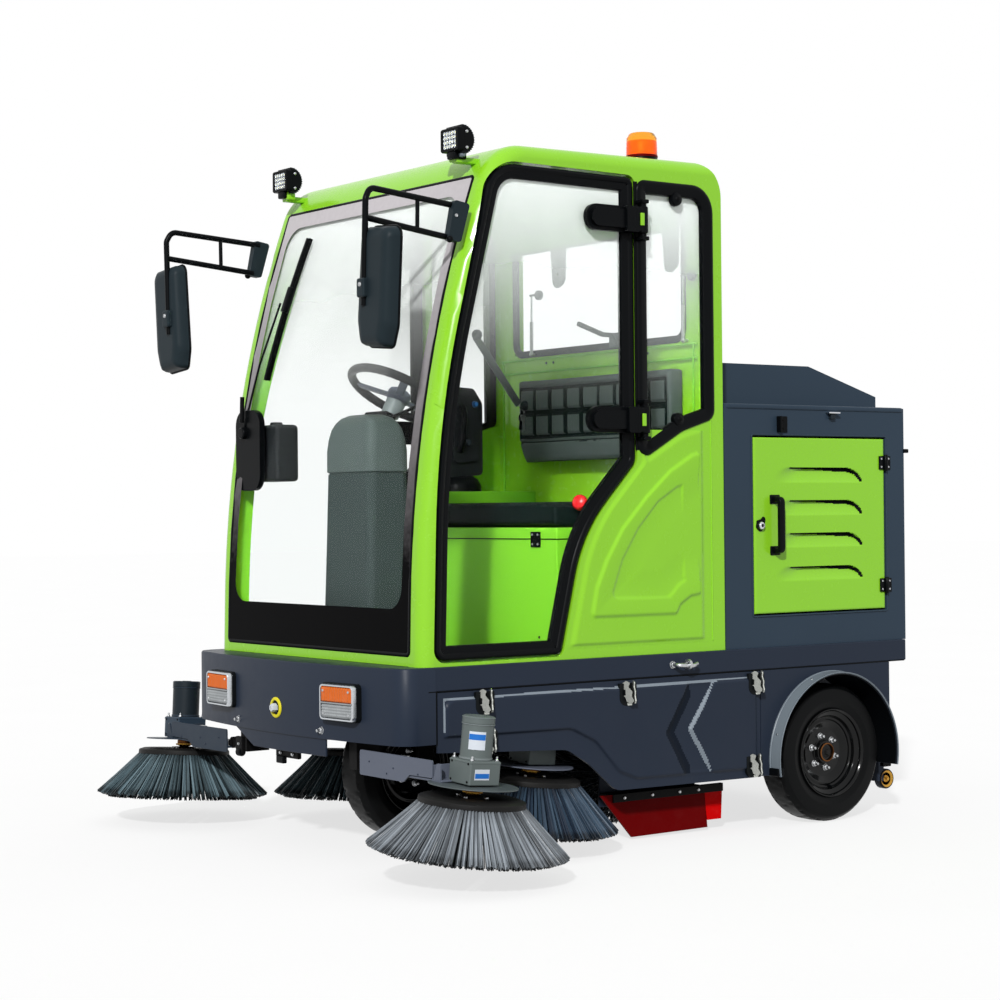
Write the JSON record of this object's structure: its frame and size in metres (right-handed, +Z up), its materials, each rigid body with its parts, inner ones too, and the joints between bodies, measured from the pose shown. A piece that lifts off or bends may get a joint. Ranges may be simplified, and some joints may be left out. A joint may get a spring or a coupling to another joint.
{
  "type": "compact road sweeper",
  "caption": "Ride-on three-wheeled road sweeper with a glazed cab, side brushes, a main roller and a pull-out dust bin.",
  "frame": {"origin": "middle of the overall box on the floor", "axes": "+Z up, -Y towards the front of the vehicle, +X towards its left"},
  "size_m": [1.9598, 2.042, 1.967],
  "materials": {
    "lime_paint": "glossy lime paint",
    "slate_paint": "satin slate paint",
    "black_steel": "satin black",
    "black_plastic": "matte black",
    "grey_plastic": "matte grey",
    "pane": "clear",
    "tyre": "black rubber",
    "red_rubber": "red rubber",
    "bristle": "grey bristle",
    "cushion": "black vinyl",
    "lamp": "amber and clear",
    "zinc": "zinc plated",
    "battery": "dark case"
  },
  "bodies": {
    "vehicle": {"deck": "slate_paint", "front_bumper": "slate_paint", "side_skirts": "slate_paint", "rear_fenders": "slate_paint", "chassis_frame": "black_steel", "tie_down_eyes": "zinc", "cab_sides": "lime_paint", "cab_roof": "lime_paint", "cab_front_frame": "lime_paint", "cab_rear_wall": "lime_paint", "cab_windows": "pane", "roller_housing": "slate_paint", "roller_flaps": "red_rubber", "rear_box": "slate_paint", "battery_pack": "battery", "seat_box": "lime_paint", "seat_cushions": "cushion", "cab_controls": "grey_plastic", "lamps": "lamp", "mirrors": "black_plastic"},
    "door_left": {"door_left_frame": "black_plastic", "door_left_glass": "pane"},
    "door_right": {"door_right_frame": "black_plastic", "door_right_glass": "pane"},
    "box_door_left": {"box_door_left": "lime_paint"},
    "box_door_right": {"box_door_right": "lime_paint"},
    "hood": {"hood": "slate_paint"},
    "hopper": {"hopper": "slate_paint"},
    "front_fork": {"front_fork": "black_steel"},
    "front_wheel": {"front_tyre": "tyre", "front_rim": "black_steel"},
    "rear_wheel_left": {"rear_left_tyre": "tyre", "rear_left_rim": "black_steel"},
    "rear_wheel_right": {"rear_right_tyre": "tyre", "rear_right_rim": "black_steel"},
    "steering_wheel": {"steering_wheel": "grey_plastic"},
    "main_roller": {"main_roller": "bristle"},
    "front_arm_left": {"front_arm_left": "grey_plastic"},
    "front_brush_left": {"front_brush_left": "bristle"},
    "mid_arm_left": {"mid_arm_left": "grey_plastic"},
    "mid_brush_left": {"mid_brush_left": "bristle"},
    "front_arm_right": {"front_arm_right": "grey_plastic"},
    "front_brush_right": {"front_brush_right": "bristle"},
    "mid_arm_right": {"mid_arm_right": "grey_plastic"},
    "mid_brush_right": {"mid_brush_right": "bristle"}
  },
  "joints": [
    {"name": "door_left_hinge", "type": "hinge", "parent": "vehicle", "child": "door_left", "pos_m": [0.542, -0.029, 1.2], "axis": [0, 0, 1], "range_deg": [0, 95]},
    {"name": "door_right_hinge", "type": "hinge", "parent": "vehicle", "child": "door_right", "pos_m": [-0.542, -0.029, 1.2], "axis": [0, 0, -1], "range_deg": [0, 95]},
    {"name": "box_door_left_hinge", "type": "hinge", "parent": "vehicle", "child": "box_door_left", "pos_m": [0.53, 0.908, 0.86], "axis": [0, 0, 1], "range_deg": [0, 110]},
    {"name": "box_door_right_hinge", "type": "hinge", "parent": "vehicle", "child": "box_door_right", "pos_m": [-0.53, 0.908, 0.86], "axis": [0, 0, -1], "range_deg": [0, 110]},
    {"name": "hood_hinge", "type": "hinge", "parent": "vehicle", "child": "hood", "pos_m": [0, 0.979, 1.216], "axis": [-1, 0, 0], "range_deg": [0, 70]},
    {"name": "hopper_slide", "type": "slide", "parent": "vehicle", "child": "hopper", "axis": [0, 1, 0], "range_m": [0, 0.55]},
    {"name": "fork_steer", "type": "hinge", "parent": "vehicle", "child": "front_fork", "pos_m": [0, -0.449, 0.4], "axis": [0, 0, 1], "range_deg": [-50, 50]},
    {"name": "steering_wheel_turn", "type": "hinge", "parent": "vehicle", "child": "steering_wheel", "pos_m": [0, -0.469, 1.236], "axis": [0, 0.5, 0.866], "range_deg": [-305, 305]},
    {"name": "front_wheel_spin", "type": "hinge", "parent": "front_fork", "child": "front_wheel", "pos_m": [0, -0.449, 0.2], "axis": [1, 0, 0], "continuous": true},
    {"name": "rear_wheel_left_spin", "type": "hinge", "parent": "vehicle", "child": "rear_wheel_left", "pos_m": [0.48, 0.671, 0.2], "axis": [1, 0, 0], "continuous": true},
    {"name": "rear_wheel_right_spin", "type": "hinge", "parent": "vehicle", "child": "rear_wheel_right", "pos_m": [-0.48, 0.671, 0.2], "axis": [1, 0, 0], "continuous": true},
    {"name": "main_roller_spin", "type": "hinge", "parent": "vehicle", "child": "main_roller", "pos_m": [0, 0.106, 0.166], "axis": [1, 0, 0], "continuous": true},
    {"name": "front_arm_left_lift", "type": "hinge", "parent": "vehicle", "child": "front_arm_left", "pos_m": [0.345, -0.787, 0.265], "axis": [0, -1, 0], "range_deg": [-3.5, 2]},
    {"name": "front_brush_left_spin", "type": "hinge", "parent": "front_arm_left", "child": "front_brush_left", "pos_m": [0.735, -0.759, 0.214], "axis": [0.0498, 0.0796, 0.9956], "continuous": true},
    {"name": "mid_arm_left_lift", "type": "hinge", "parent": "vehicle", "child": "mid_arm_left", "pos_m": [0.262, -0.344, 0.32], "axis": [0, -1, 0], "range_deg": [-4, 2]},
    {"name": "mid_brush_left_spin", "type": "hinge", "parent": "mid_arm_left", "child": "mid_brush_left", "pos_m": [0.424, -0.344, 0.206], "axis": [0.0498, 0.0796, 0.9956], "continuous": true},
    {"name": "front_arm_right_lift", "type": "hinge", "parent": "vehicle", "child": "front_arm_right", "pos_m": [-0.345, -0.787, 0.265], "axis": [0, 1, 0], "range_deg": [-3.5, 2]},
    {"name": "front_brush_right_spin", "type": "hinge", "parent": "front_arm_right", "child": "front_brush_right", "pos_m": [-0.735, -0.759, 0.214], "axis": [-0.0498, 0.0796, 0.9956], "continuous": true},
    {"name": "mid_arm_right_lift", "type": "hinge", "parent": "vehicle", "child": "mid_arm_right", "pos_m": [-0.262, -0.344, 0.32], "axis": [0, 1, 0], "range_deg": [-4, 2]},
    {"name": "mid_brush_right_spin", "type": "hinge", "parent": "mid_arm_right", "child": "mid_brush_right", "pos_m": [-0.424, -0.344, 0.206], "axis": [-0.0498, 0.0796, 0.9956], "continuous": true}
  ],
  "couplings": [
    {"joint": "steering_wheel_turn", "follows": "fork_steer", "ratio": 6}
  ]
}
